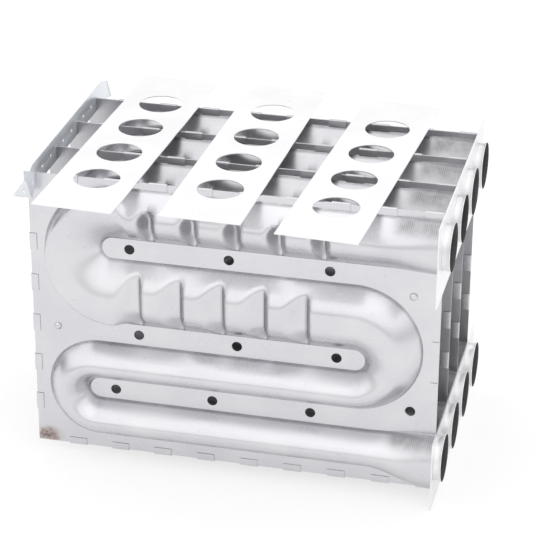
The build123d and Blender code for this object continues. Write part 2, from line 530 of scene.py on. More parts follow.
@dataclass(frozen=True)
class CrimpRow:
    """The crimps across one pass, in mm: a slope down from the left, then a steep wall up again.

    start is the first crimp's deepest line, left and right are the widths of its slope and
    wall, and striped is how dark the draw marks on the slope are, 0 to 1. The steep wall gets a
    painted dark streak, painted shade, whose edges wall_shade_start and wall_shade_fade set.
    """

    start: float
    pitch: float
    left: float
    right: float
    floor: float
    run_in: float
    striped: float
    count: int = 5
    wall_shade_start: float = 1.5
    wall_shade_fade: float = 5.0
    slope_fade: float = 3.0

    def at(self, x: float) -> tuple[float, float]:
        """How the crimps press the sheet at one place.

        Args:
            x: The place along the pass.

        Returns:
            How deep it is pressed and how strong its draw marks and painted wall shade are, 0 to 1 each.
        """
        deepest, rubbed_and_shaded = 0.0, 0.0
        for index in range(self.count):
            offset = x - (self.start + index * self.pitch)
            pressed = 1.0 - ease(abs(offset) / (self.left if offset < 0 else self.right))
            deepest = max(deepest, pressed)
            # Painted shade: a dark streak on each crimp's steep left-facing wall, standing in for the dim
            # room it mirrors.
            wall = ease((offset + self.wall_shade_start) / self.wall_shade_start)
            wall *= ease((self.right - offset) / self.wall_shade_fade)
            stripes = self.striped * pressed * ease(-offset / self.slope_fade)
            rubbed_and_shaded = max(rubbed_and_shaded, wall, stripes)
        return deepest, rubbed_and_shaded


@dataclass(frozen=True)
class Pinch:
    """A place where the passage's shoulders are narrow, in mm: its x, the first shoulder and the second."""

    x: float
    first: float
    second: float


@dataclass
class StampedCell:
    """A cell: two stamped halves with a serpentine passage, crimps, lock holes and folded hem tabs.

    Lengths are in mm. foot_places are the points at the foot of a wall, wall_spacing draws the
    other ones towards it, and tube_lip says how far each ring of a tube end stands out and how
    much wider it is.
    """

    layout: Layout
    sheet: float = 1.0
    depth: float = 27.0
    edge_gap: float = 1.4
    plate_gap: float = 0.2
    bottom_band: float = 20.0
    first_pass: float = 52.0
    lower_web: float = 26.0
    second_pass: float = 52.0
    middle_web: float = 27.0
    third_pass: float = 86.5
    upper_web: float = 26.5
    fourth_pass: float = 67.0
    side_band: float = 19.0
    upper_web_end: float = 91.0
    inlet_drop: float = 14.0
    inlet_rise: float = 3.0
    inlet_lift: float = 4.0
    inlet_spread_start: float = 85.0
    inlet_spread_end: float = 20.0
    draft: float = 1.35
    crest_softness: float = 0.45
    shoulder: float = 34.0
    outer_turn_shoulder: float = 12.0
    inner_turn_shoulder: float = 48.0
    shoulder_growth: float = 22.0
    # Widths of the painted shade line along the foot of each wall; it is wider where the wall faces left.
    crease_shade: float = 1.65
    left_crease_shade: float = 5.0
    foot_places: tuple[float, ...] = (0.0, 0.3, 0.9, 1.6)
    wall_steps: int = 12
    wall_spacing: float = 1.15
    crimp_run_out: float = 30.0
    crimp_top: float = 2.0
    crimp_softness: float = 4.0
    third_pass_crimps: CrimpRow = CrimpRow(139.0, 51.0, 38.0, 10.0, 14.0, 12.0, 0.0)
    fourth_pass_crimps: CrimpRow = CrimpRow(154.0, 52.0, 22.0, 13.0, 8.0, 34.0, 0.12)
    full_reach: float = 70.0
    tube_radius: float = 27.0
    tube_lip: tuple[Spot, ...] = ((0.0, 0.0), (5.0, 0.0), (7.8, 0.4), (9.7, 1.3), (10.7, 2.4))
    hole_radius: float = 6.35
    hole_pitch: float = 121.6
    hole_starts: tuple[float, float, float] = (103.2, 134.1, 124.5)
    corner_hole: Spot = (467.7, 103.3)
    tab_pitch: float = 54.5
    tab_length: float = 22.0
    tab_width: float = 8.0
    dimple_radius: float = 5.0
    dimple_places: tuple[Spot, ...] = ((31.7, 163.8), (467.2, 255.7))

    def __post_init__(self) -> None:
        """Work out the levels of the passes."""
        self.low_1 = self.bottom_band
        self.high_1 = self.low_1 + self.first_pass
        self.low_2 = self.high_1 + self.lower_web
        self.high_2 = self.low_2 + self.second_pass
        self.low_3 = self.high_2 + self.middle_web
        self.high_3 = self.low_3 + self.third_pass
        self.low_4 = self.high_3 + self.upper_web
        self.high_4 = self.low_4 + self.fourth_pass
        self.end = self.layout.length - self.plate_gap
        self.inlet_axis = (self.low_1 - self.inlet_drop + self.high_1 + self.inlet_rise) / 2
        self.inlet_axis += self.inlet_lift
        self.outlet_axis = (self.low_4 + self.high_4) / 2

    def stations(self) -> list[Station]:
        """Cross-sections along the passage.

        Returns:
            The stations from the inlet to the outlet.
        """
        wide = self.shoulder
        rows: list[Station] = []
        right_radius = (self.high_3 - self.low_2) / 2
        left_radius = (self.high_4 - self.low_3) / 2
        small_radius = (self.high_2 - self.low_1) / 2
        small_x = self.side_band + small_radius
        right_x = self.layout.length - self.side_band - right_radius
        left_x = self.side_band + left_radius
        web_x = self.upper_web_end + self.upper_web / 2
        spread_start = self.layout.length - self.inlet_spread_start
        spread_end = self.layout.length - self.inlet_spread_end
        steps = 14
        for index in range(steps + 1):
            share = 1 - index / steps
            x = spread_start + (self.end - spread_start) * share
            spread = ease((x - spread_start) / (spread_end - spread_start))
            low, high = self.low_1 - self.inlet_drop * spread, self.high_1 + self.inlet_rise * spread
            rows.append(Station((x, low), (x, high), wide, wide, self.fullness(x)))
        rows += self.straight(spread_start, small_x, 12, self.low_1, self.high_1)
        rows += self.turn((small_x, self.low_1 + small_radius), small_radius,
                          (small_x, self.low_1 + small_radius), self.lower_web / 2, 270, 90, 36, (wide, wide))
        rows += self.straight(small_x, right_x, 14, self.high_2, self.low_2)
        rows += self.turn((right_x, (self.high_2 + self.low_3) / 2), self.middle_web / 2,
                          (right_x, self.low_2 + right_radius), right_radius, -90, 90, 40, (wide, wide))
        pinch = Pinch(left_x, self.outer_turn_shoulder, self.inner_turn_shoulder)
        rows += self.straight(right_x, left_x, 150, self.low_3, self.high_3, self.third_pass_crimps, pinch)
        rows += self.turn((left_x, self.low_3 + left_radius), left_radius,
                          (web_x, self.high_3 + self.upper_web / 2), self.upper_web / 2, 270, 90, 48,
                          (pinch.first, pinch.second))
        rows += self.straight(left_x, self.end, 200, self.high_4, self.low_4, self.fourth_pass_crimps, pinch)
        return rows

    def straight(self, start: float, stop: float, steps: int, first: float, second: float,
                 crimps: CrimpRow | None = None, pinch: Pinch | None = None) -> list[Station]:
        """Cross-sections of a straight stretch, without its first one.

        Args:
            start: Where it starts along x.
            stop: Where it stops.
            steps: How many cross-sections it gets.
            first: Level of the edge that comes first in a station.
            second: Level of the other edge.
            crimps: The crimps across the pass, where it has any.
            pinch: The end at which its shoulders are narrow, where it has one.

        Returns:
            The stations in order.
        """
        rows = []
        pinch = pinch or Pinch(start, self.shoulder, self.shoulder)
        for index in range(1, steps + 1):
            x = start + (stop - start) * index / steps
            pressed = (*crimps.at(x), crimps.floor, crimps.run_in) if crimps else ()
            grown = ease(abs(x - pinch.x) / self.shoulder_growth)
            roundings = [near + (self.shoulder - near) * grown for near in (pinch.first, pinch.second)]
            rows.append(Station((x, first), (x, second), *roundings, self.fullness(x), *pressed))
        return rows

    def turn(self, first_centre: Spot, first_radius: float, second_centre: Spot, second_radius: float,
             start: float, stop: float, steps: int, shoulders: tuple[float, float]) -> list[Station]:
        """Cross-sections round a turn, without its first one.

        Args:
            first_centre: Centre of the arc of the first edge.
            first_radius: Its radius.
            second_centre: Centre of the arc of the second edge.
            second_radius: Its radius.
            start: Start angle in degrees.
            stop: Stop angle in degrees.
            steps: How many cross-sections it gets.
            shoulders: Rounding of the section at its first and second edge.

        Returns:
            The stations in order.
        """
        rows = []
        for index in range(1, steps + 1):
            angle = radians(start + (stop - start) * index / steps)
            edges = [(centre[0] + radius * cos(angle), centre[1] + radius * sin(angle))
                     for centre, radius in ((first_centre, first_radius), (second_centre, second_radius))]
            rows.append(Station(*edges, *shoulders))
        return rows

    def fullness(self, x: float) -> float:
        """How round the section is at x: drafted walls along the passes, a round tube at the plates."""
        return ease(1.0 - (self.end - x) / self.full_reach)

    def wall(self, share: float, fullness: float) -> float:
        """Height of a wall, between a drafted one and a round one.

        Args:
            share: Place on the wall's run, 0 at its foot and 1 at the crest.
            fullness: Share of the round wall.

        Returns:
            The height as a share of the depth.
        """
        away, soft = 1.0 - share, self.crest_softness
        top, foot = soft ** self.draft, (1.0 + soft ** 2) ** (self.draft / 2)
        drafted = (foot - (away ** 2 + soft ** 2) ** (self.draft / 2)) / (foot - top)
        rounded = (1.0 - (1.0 - share) ** 2) ** 0.5
        return drafted + (rounded - drafted) * fullness

    def section(self, station: Station) -> list[SheetPoint]:
        """Points across the passage.

        Args:
            station: The cross-section.

        Returns:
            The points from the first edge to the second.
        """
        (x0, z0), (x1, z1) = station.first, station.second
        width = ((x1 - x0) ** 2 + (z1 - z0) ** 2) ** 0.5
        shrink = min(1.0, (width - 1.6) / (station.round_first + station.round_second))
        crest = (width + (station.round_first - station.round_second) * shrink) / 2
        foot = self.foot_places[-1]
        profile: list[Spot] = []
        for side, rounding in ((0, station.round_first), (1, station.round_second)):
            rounding *= shrink
            places = list(self.foot_places)
            for index in range(1, self.wall_steps + 1):
                places.append(foot + (rounding - foot) * (index / self.wall_steps) ** self.wall_spacing)
            run = [(place, self.depth * self.wall(place / rounding, station.fullness)) for place in places]
            if side:
                run = [(width - across, height) for across, height in reversed(run)]
            else:
                run.append((crest, self.depth))
            profile += run
        points = []
        for across, height in profile:
            share = across / width
            z = z0 + (z1 - z0) * share
            if station.crimp > 0:
                floor = station.floor * ease((z - min(z0, z1)) / self.crimp_run_out)
                pressed = station.crimp * ease((max(z0, z1) - z - self.crimp_top) / station.run_in)
                limit = floor + (self.depth + self.crimp_softness - floor) * (1 - pressed)
                height = soft_lower(height, limit, self.crimp_softness)
            mark_and_shade = self.mark_and_shade(station, across, across < crest, z)
            points.append((x0 + (x1 - x0) * share, height, z, mark_and_shade))
        return points

    def mark_and_shade(self, station: Station, across: float, before_crest: bool, z: float) -> float:
        """How strong the draw marks and the painted shade are at a point of a section.

        Args:
            station: The cross-section.
            across: Distance of the point from the first edge.
            before_crest: Whether it is on the first edge's side of the crest.
            z: Level of the point.

        Returns:
            The strength, 0 to 1.
        """
        (x0, z0), (x1, z1) = station.first, station.second
        width = ((x1 - x0) ** 2 + (z1 - z0) ** 2) ** 0.5
        edge = min(across, width - across)
        if edge <= 0.01:
            return 0.0
        outward = (x0 - x1) / width if before_crest else (x1 - x0) / width
        # Painted shade: a dark line along the foot of each wall, wider where the wall faces left.
        crease_shade = 0.8 if edge < self.crease_shade + self.left_crease_shade * max(0.0, -outward) ** 4 else 0.0
        upper = ease((max(z0, z1) - z - 8.0) / 14.0) * ease((z - min(z0, z1) - 4.0) / 14.0)
        below = (max(z0, z1) - z - 0.8) / (0.3 * width)
        # Real draw marks near the outlet, darkened into a painted dark reflection just under the top edge.
        drawn_and_shaded = ease(4.0 * station.fullness) * ease(below / 0.08) * ease((1.0 - below) / 0.7)
        return max(crease_shade, station.rubbed_and_shaded * upper, drawn_and_shaded)

    def tube_rings(self, axis: float, rising: bool) -> list[list[SheetPoint]]:
        """Rings of a tube end, from the plate outwards.

        Args:
            axis: Level of the tube's axis.
            rising: Whether the section's points run upwards.

        Returns:
            Rings with as many points as a section has.
        """
        count = 2 * (len(self.foot_places) + self.wall_steps) + 1
        rings = []
        for reach, spread in self.tube_lip:
            radius = self.tube_radius + spread
            ring = []
            for index in range(count):
                angle = pi * index / (count - 1) - pi / 2
                z = axis + radius * sin(angle) * (1 if rising else -1)
                ring.append((self.end + reach, radius * cos(angle) - self.sheet, z, 0.15))
            rings.append(ring)
        return rings

    def build_sheet(self, materials: list[bpy.types.Material]) -> bpy.types.Object:
        """Make the front half's stamped sheet, with its flat webs, holes and thickness.

        Args:
            materials: The outside's material, the inner wall's, painted near black as soot and shade, and the
                tube ends', painted pale as a highlight.

        Returns:
            The sheet, still a piece of its own.
        """
        rings = [self.section(station) for station in self.stations()]
        inlet = list(reversed(self.tube_rings(self.inlet_axis, True)))
        outlet = self.tube_rings(self.outlet_axis, False)
        rows = inlet + rings + outlet
        width = len(rows[0])
        points = [point for ring in rows for point in ring]
        vertices = [self.layout.place(x, -self.sheet - height, z) for x, height, z, _ in points]
        marks_and_shade = [point[3] for point in points]
        faces = []
        for row in range(len(rows) - 1):
            for column in range(width - 1):
                corner = row * width + column
                faces.append((corner, corner + 1, corner + width + 1, corner + width))
        first_ring, last_ring = len(inlet) * width, (len(rows) - len(outlet) - 1) * width
        border = self.border_points()
        base = len(vertices)
        vertices += [self.layout.place(x, -self.sheet, z) for x, z in border]
        marks_and_shade += [0.0] * len(border)
        edges = [(base + index, base + index + 1) for index in range(len(border) - 1)]
        edges += [(base, first_ring), (base + len(border) - 1, last_ring)]
        edges.append((first_ring + width - 1, last_ring + width - 1))
        mesh = bpy.data.meshes.new("stamped_sheet")
        mesh.from_pydata(vertices, edges, faces)
        attribute = mesh.attributes.new("draw_and_shade", "FLOAT", "POINT")
        attribute.data.foreach_set("value", marks_and_shade)
        piece = bpy.data.objects.new("stamped_sheet", mesh)
        bpy.context.scene.collection.objects.link(piece)
        self.fill_flats(piece)
        for material in materials:
            piece.data.materials.append(material)
        apply_modifier(piece, "SOLIDIFY", thickness=self.sheet * MM, offset=-1.0, use_even_offset=False,
                       material_offset=1)
        # Painted highlight: faces of the tube ends beyond the plate take the third material, the paler strap
        # finish.
        beyond = self.layout.place(self.end + 0.6, 0, 0).x
        for face in piece.data.polygons:
            if face.material_index == 0 and face.center.x > beyond:
                face.material_index = 2
        make_active(piece)
        bpy.ops.object.shade_smooth_by_angle(angle=radians(30), keep_sharp_edges=True)
        return piece

    def border_points(self) -> list[Spot]:
        """The sheet's outer border, from the lower tube round the closed end to the upper tube.

        Returns:
            Its corners.
        """
        gap = self.edge_gap
        top = self.layout.height - gap
        return [(self.end, gap), (gap, gap), (gap, top), (self.end, top)]

    def hole_places(self) -> list[Spot]:
        """Centres of the lock holes: three in each web and one outside the right turn.

        Returns:
            The centres.
        """
        levels = ((self.high_1 + self.low_2) / 2, (self.high_2 + self.low_3) / 2,
                  (self.high_3 + self.low_4) / 2)
        places = []
        for start, level in zip(self.hole_starts, levels):
            places += [(start + index * self.hole_pitch, level) for index in range(3)]
        return places + [self.corner_hole]

    def fill_flats(self, piece: bpy.types.Object) -> None:
        """Draw the lock holes' rims and fill the flat webs round them.

        Args:
            piece: The sheet, with its passage and its border.
        """
        make_active(piece)
        bpy.ops.object.mode_set(mode="EDIT")
        bpy.ops.mesh.select_all(action="DESELECT")
        for x, z in self.hole_places():
            bpy.ops.mesh.primitive_circle_add(vertices=28, radius=self.hole_radius * MM, fill_type="NOTHING",
                                              location=self.layout.place(x, -self.sheet, z),
                                              rotation=(radians(90), 0, 0))
        bpy.ops.mesh.select_all(action="SELECT")
        bpy.ops.mesh.remove_doubles(threshold=0.00001)
        flat = self.layout.place(0, -self.sheet, 0).y
        stop = self.layout.place(self.end + 0.05, 0, 0).x
        bpy.ops.object.mode_set(mode="OBJECT")
        open_edges = {key for key, uses in self.edge_uses(piece).items() if uses < 2}
        bpy.ops.object.mode_set(mode="EDIT")
        bpy.ops.mesh.select_mode(type="EDGE")
        bpy.ops.mesh.select_all(action="DESELECT")
        bpy.ops.object.mode_set(mode="OBJECT")
        points = piece.data.vertices
        for edge in piece.data.edges:
            ends = [points[index].co for index in edge.vertices]
            level = all(abs(end.y - flat) < 1e-6 and end.x < stop for end in ends)
            edge.select = level and tuple(sorted(edge.vertices)) in open_edges
        bpy.ops.object.mode_set(mode="EDIT")
        bpy.ops.mesh.mark_sharp()
        bpy.ops.mesh.fill(use_beauty=True)
        bpy.ops.mesh.select_all(action="SELECT")
        bpy.ops.mesh.normals_make_consistent(inside=False)
        bpy.ops.object.mode_set(mode="OBJECT")
        flat_faces = [face for face in piece.data.polygons
                      if all(abs(points[index].co.y - flat) < 1e-6 for index in face.vertices)]
        if sum(face.normal.y * face.area for face in flat_faces) > 0:
            bpy.ops.object.mode_set(mode="EDIT")
            bpy.ops.mesh.select_all(action="SELECT")
            bpy.ops.mesh.flip_normals()
            bpy.ops.object.mode_set(mode="OBJECT")

    @staticmethod
    def edge_uses(piece: bpy.types.Object) -> dict[tuple[int, int], int]:
        """Count the faces at each edge of a mesh.

        Args:
            piece: The mesh object.

        Returns:
            The number of faces by the edge's two vertices.
        """
        uses = {tuple(sorted(edge.vertices)): 0 for edge in piece.data.edges}
        for face in piece.data.polygons:
            for key in face.edge_keys:
                uses[tuple(sorted(key))] += 1
        return uses

    def tab_places(self, edge: Edge) -> list[float]:
        """Where the tabs start along an edge.

        Args:
            edge: The edge.

        Returns:
            Their starts in mm.
        """
        first, last = {
            Edge.BOTTOM: (14.0, self.layout.length),
            Edge.TOP: (14.0, self.layout.length),
            Edge.CLOSED: (18.0, self.layout.height - 44.0),
            Edge.OPEN: (96.0, self.layout.height - 112.0),
        }[edge]
        start = first + self.tab_pitch / 2
        places = []
        while start + self.tab_length < last:
            places.append(start)
            start += self.tab_pitch
        return places

    def build_tab(self, edge: Edge, start: float) -> bpy.types.Object:
        """Fold one tab of the rear half over the front half's edge.

        Args:
            edge: The edge it sits on.
            start: Where it starts along that edge, in mm.

        Returns:
            The tab, still a piece of its own.
        """
        reach = self.edge_gap
        fold = [(self.sheet, -6.0)]
        for index in range(9):
            angle = pi * index / 8
            fold.append((-0.5 + 1.5 * cos(angle), reach * sin(angle)))
        fold.append((-2 * self.sheet, -self.tab_width))
        line = {
            Edge.TOP: lambda along, out: (along, self.layout.height - reach + out),
            Edge.BOTTOM: lambda along, out: (along, reach - out),
            Edge.CLOSED: lambda along, out: (reach - out, along),
            Edge.OPEN: lambda along, out: (self.end - reach + out, along),
        }[edge]
        points = []
        for along in (start, start + self.tab_length):
            for y, out in fold:
                x, z = line(along, out)
                points.append(self.layout.place(x, y, z))
        count = len(fold)
        faces = [(index, index + 1, count + index + 1, count + index) for index in range(count - 1)]
        mesh = bpy.data.meshes.new("hem_tab")
        mesh.from_pydata(points, [], faces)
        tab = bpy.data.objects.new("hem_tab", mesh)
        bpy.context.scene.collection.objects.link(tab)
        outward = {Edge.TOP: Vector((0, 0, 1)), Edge.BOTTOM: Vector((0, 0, -1)),
                   Edge.CLOSED: Vector((-1, 0, 0)), Edge.OPEN: Vector((1, 0, 0))}[edge]
        if mesh.polygons[4].normal.dot(outward) < 0:
            mesh.flip_normals()
        apply_modifier(tab, "SOLIDIFY", thickness=0.6 * self.sheet * MM, offset=-1.0, use_even_offset=True)
        return tab

    def build_dimple(self, x: float, z: float) -> bpy.types.Object:
        """Press a small round boss out of the flat sheet.

        Args:
            x: Its place along the cell.
            z: Its level.

        Returns:
            The boss, still a piece of its own.
        """
        bpy.ops.mesh.primitive_uv_sphere_add(segments=24, ring_count=12, radius=self.dimple_radius * MM,
                                             location=self.layout.place(x, -self.sheet, z),
                                             rotation=(radians(90), 0, 0))
        dimple = bpy.context.object
        dimple.scale = (1.0, 1.0, 0.7)
        bake_place(dimple)
        bpy.ops.object.mode_set(mode="EDIT")
        bpy.ops.mesh.select_all(action="SELECT")
        bpy.ops.mesh.bisect(plane_co=self.layout.place(x, -0.6 * self.sheet, z), plane_no=(0, 1, 0),
                            clear_outer=True, use_fill=True)
        bpy.ops.object.mode_set(mode="OBJECT")
        bpy.ops.object.shade_smooth_by_angle(angle=radians(30))
        return dimple

    def build_front(self, materials: list[bpy.types.Material]) -> bpy.types.Object:
        """Make the front half of the first cell with the tabs that the rear half folds over it.

        Args:
            materials: The outside's material, the inner wall's, painted near black as soot and shade, and the
                tube ends', painted pale as a highlight.

        Returns:
            The half.
        """
        pieces = [self.build_sheet(materials)]
        for edge in Edge:
            for start in self.tab_places(edge):
                pieces.append(self.build_tab(edge, start))
        pieces += [self.build_dimple(x, z) for x, z in self.dimple_places]
        for piece in pieces[1:]:
            piece.data.materials.append(materials[0])
        half = join_pieces(pieces, "cell_1_front_sheet")
        bpy.ops.object.shade_smooth_by_angle(angle=radians(30), keep_sharp_edges=True)
        return half

    def build_all(self, shaded_inner: bpy.types.Material, stained: bpy.types.Material,
                  inside: bpy.types.Material, tube: bpy.types.Material) -> None:
        """Make both halves of every cell.

        Args:
            shaded_inner: A darker copy of the sheet finish, painted shade, for the sheets that face another
                cell.
            stained: Finish of the front sheet of the first cell.
            inside: The passage's inner wall, near black and without shine: soot, darkened further as painted
                shade in the tube mouths.
            tube: The tube ends, given the paler strap finish as a painted highlight on their rolled lips.
        """
        front = self.build_front([stained, inside, tube])
        rear = copy_piece(front, "cell_1_rear_sheet", Vector())
        to_seam = Matrix.Translation((0, self.layout.place(0, 0, 0).y, 0))
        rear.data.transform(to_seam @ Matrix.Scale(-1, 4, (0, 1, 0)) @ to_seam.inverted())
        rear.data.flip_normals()
        for number in range(self.layout.count, 0, -1):
            move = Vector((0, (number - 1) * self.layout.pitch * MM, 0))
            for template, side in ((front, "front"), (rear, "rear")):
                name = f"cell_{number}_{side}_sheet"
                piece = template if number == 1 else copy_piece(template, name, move)
                outside = stained if name == "cell_1_front_sheet" else shaded_inner
                finish_piece(piece, [outside, inside, tube], "aluminised_sheet", f"cell_{number}_{side}_half")


# Comb bracket


@dataclass
class CombBracket:
    """The upright rail at the closed end: a slotted web with small holes and lips, and two ears.

    In mm. back and face are the web's two sides along x, low and high its lower and upper edge,
    and lean, height and reach are how an ear slants, how tall it is and how far it stands out.
    """

    layout: Layout
    back: float = 10.5
    face: float = 11.3
    low: float = 347.5
    high: float = 379.0
    front_ear: Spot = (-32.5, 366.0)
    back_ear: Spot = (286.2, 371.0)
    ear_lean: float = 16.5
    ear_height: float = 28.0
    ear_reach: float = 24.0
    ear_tip: float = 5.5
    ear_sheet: float = 1.2
    ear_hole_radius: float = 2.0
    ear_hole_place: float = 9.0
    slot_half: float = 1.5
    slot_top: float = 366.0
    hole_radius: float = 1.9
    hole_level: float = 362.5
    hole_offsets: tuple[float, float] = (24.3, 56.4)
    front_hole: Spot = (-14.3, 358.0)
    lip_height: float = 8.0
    lip_width: float = 2.2
    lip_rise: float = 0.5
    lip_offset: float = 4.0
    edge_rounding: float = 0.22

    def web_outline(self) -> list[Spot]:
        """The web's outline with a slot over every cell.

        Returns:
            The outline's points.
        """
        first, last = self.front_ear, self.back_ear
        points = [(first[0] + self.ear_lean, first[1] - self.ear_height), first]
        points += [(-41.0, 370.5), (-41.0, 383.2), (-39.6, 383.6), (-21.0, 374.2), (-16.0, 377.4)]
        points += [(-10.5, self.high), (263.7, self.high), last]
        points += [(last[0] + self.ear_lean, last[1] - self.ear_height), (last[0], self.low)]
        for index in range(self.layout.count - 1, -1, -1):
            seam = index * self.layout.pitch
            points.append((seam + self.slot_half, self.low))
            for step in range(9):
                angle = pi * step / 8
                level = self.slot_top - self.slot_half * (1 - sin(angle))
                points.append((seam + self.slot_half * cos(angle), level))
            if index:
                points.append((seam - self.slot_half, self.low))
        return points + [(-self.slot_half, self.low + 1.0), (-3.0, self.low)]

    def hole_places(self) -> list[Spot]:
        """Centres of the web's small holes.

        Returns:
            The centres.
        """
        places = [self.front_hole]
        for index in range(self.layout.count - 1):
            places += [(index * self.layout.pitch + offset, self.hole_level) for offset in self.hole_offsets]
        return places

    def plate(self, name: str, rims: list[list[Vector]], thickness: float,
              outward: Vector) -> bpy.types.Object:
        """A flat sheet from an outer rim and the rims of its holes.

        Args:
            name: Name of the piece.
            rims: Closed loops of points, the outer one first.
            thickness: Thickness in mm, away from the outer face.
            outward: Direction the outer face looks in.

        Returns:
            The sheet.
        """
        points, edges = [], []
        for rim in rims:
            base = len(points)
            points += rim
            edges += [(base + index, base + (index + 1) % len(rim)) for index in range(len(rim))]
        mesh = bpy.data.meshes.new(name)
        mesh.from_pydata(points, edges, [])
        piece = bpy.data.objects.new(name, mesh)
        bpy.context.scene.collection.objects.link(piece)
        make_active(piece)
        bpy.ops.object.mode_set(mode="EDIT")
        bpy.ops.mesh.select_all(action="SELECT")
        bpy.ops.mesh.fill(use_beauty=True)
        bpy.ops.mesh.normals_make_consistent(inside=False)
        bpy.ops.object.mode_set(mode="OBJECT")
        if sum(face.normal.dot(outward) * face.area for face in mesh.polygons) < 0:
            mesh.flip_normals()
        apply_modifier(piece, "SOLIDIFY", thickness=thickness * MM, offset=-1.0, use_even_offset=False)
        apply_modifier(piece, "BEVEL", width=self.edge_rounding * MM, segments=2, limit_method="ANGLE",
                       angle_limit=radians(40))
        make_active(piece)
        bpy.ops.object.shade_smooth_by_angle(angle=radians(30))
        return piece

    def build_web(self) -> bpy.types.Object:
        """Make the upright web with its slots and holes.

        Returns:
            The web.
        """
        place = self.layout.place
        rims = [[place(self.face, y, z) for y, z in self.web_outline()]]
        for y, z in self.hole_places():
            rims.append([place(self.face, y + self.hole_radius * cos(2 * pi * step / 16),
                               z + self.hole_radius * sin(2 * pi * step / 16)) for step in range(16)])
        return self.plate("bracket_web", rims, self.face - self.back, Vector((1, 0, 0)))

    def build_ear(self, name: str, top: Spot) -> bpy.types.Object:
        """Make one ear, bent out of the web along a leaning fold.

        Args:
            name: Name of the piece.
            top: Upper end of the fold.

        Returns:
            The ear.
        """
        length = (self.ear_lean ** 2 + self.ear_height ** 2) ** 0.5
        along = Vector((0, self.ear_lean, -self.ear_height)) / length
        inwards = Vector((0, self.ear_height, self.ear_lean)) / length
        fold = self.back + self.ear_sheet

        def spot(reach: float, down: float) -> Vector:
            """A point of the ear's outer face."""
            return self.layout.place(*(Vector((fold - reach, *top)) + along * down))

        outline = [(0.0, 0.0), (self.ear_tip - 2.0, 0.0), (self.ear_tip - 0.6, 0.6), (self.ear_tip, 2.0),
                   (self.ear_reach - 0.9, length - 3.2), (self.ear_reach - 0.6, length - 1.6),
                   (self.ear_reach - 1.6, length - 0.3), (self.ear_reach - 3.0, length), (0.0, length)]
        rims = [[spot(reach, down) for reach, down in outline]]
        reach, down = self.ear_hole_place, length * (1 - self.ear_hole_place / self.ear_height)
        angles = [2 * pi * step / 20 for step in range(20)]
        rims.append([spot(reach + self.ear_hole_radius * cos(angle), down + self.ear_hole_radius * sin(angle))
                     for angle in angles])
        return self.plate(name, rims, self.ear_sheet, -inwards)

    def build_lip(self, y: float) -> bpy.types.Object:
        """Make a small ridge pressed up beside a slot.

        Args:
            y: Its place along the bracket.

        Returns:
            The ridge.
        """
        middle = self.slot_top - self.lip_height / 2
        bpy.ops.mesh.primitive_uv_sphere_add(segments=16, ring_count=10, radius=MM,
                                             location=self.layout.place(self.face - 0.1, y, middle))
        lip = bpy.context.object
        lip.scale = (self.lip_rise, self.lip_width / 2, self.lip_height / 2)
        bake_place(lip)
        bpy.ops.object.shade_smooth()
        return lip

    def build(self, web_finish: bpy.types.Material, ear_finish: bpy.types.Material) -> None:
        """Make the bracket.

        Args:
            web_finish: Finish of the web, its colour raised above the ears' as painted light.
            ear_finish: Finish of the ears and lips.
        """
        web = self.build_web()
        paler = [self.build_ear("front_ear", self.front_ear), self.build_ear("back_ear", self.back_ear)]
        for index in range(self.layout.count):
            paler.append(self.build_lip(index * self.layout.pitch - self.lip_offset))
        for piece, index in [(web, 0)] + [(piece, 1) for piece in paler]:
            piece.data.materials.append(web_finish)
            piece.data.materials.append(ear_finish)
            for face in piece.data.polygons:
                face.material_index = index
        bracket = join_pieces([web, *paler], "comb_bracket_sheet")
        finish_piece(bracket, [web_finish, ear_finish], "galvanised_sheet", "comb_bracket")


# Stage


@dataclass(frozen=True)
class PhotoCamera:
    """The photo's camera, fitted to the straight edges of the object, in the seam frame."""

    layout: Layout
    place: tuple[float, float, float] = (841.56, -2326.44, 1443.76)
    aim: tuple[float, float, float] = (301.667, 0.0, 263.867)
    roll: float = 0.37
    focal_pixels: float = 2272.4
    sensor: float = 36.0

    def build(self) -> None:
        """Make the camera and use it for the scene."""
        data = bpy.data.cameras.new("photo_camera")
        data.sensor_width = self.sensor
        data.lens = self.focal_pixels * self.sensor / PHOTO_SIZE
        data.clip_end = 50
        camera = bpy.data.objects.new("photo_camera", data)
        bpy.context.scene.collection.objects.link(camera)
        eye = self.layout.place(*self.place)
        look = self.layout.place(*self.aim) - eye
        turn = look.to_track_quat("-Z", "Y").to_matrix().to_4x4()
        camera.matrix_world = Matrix.Translation(eye) @ turn @ Matrix.Rotation(radians(self.roll), 4, "Z")
        bpy.context.scene.camera = camera


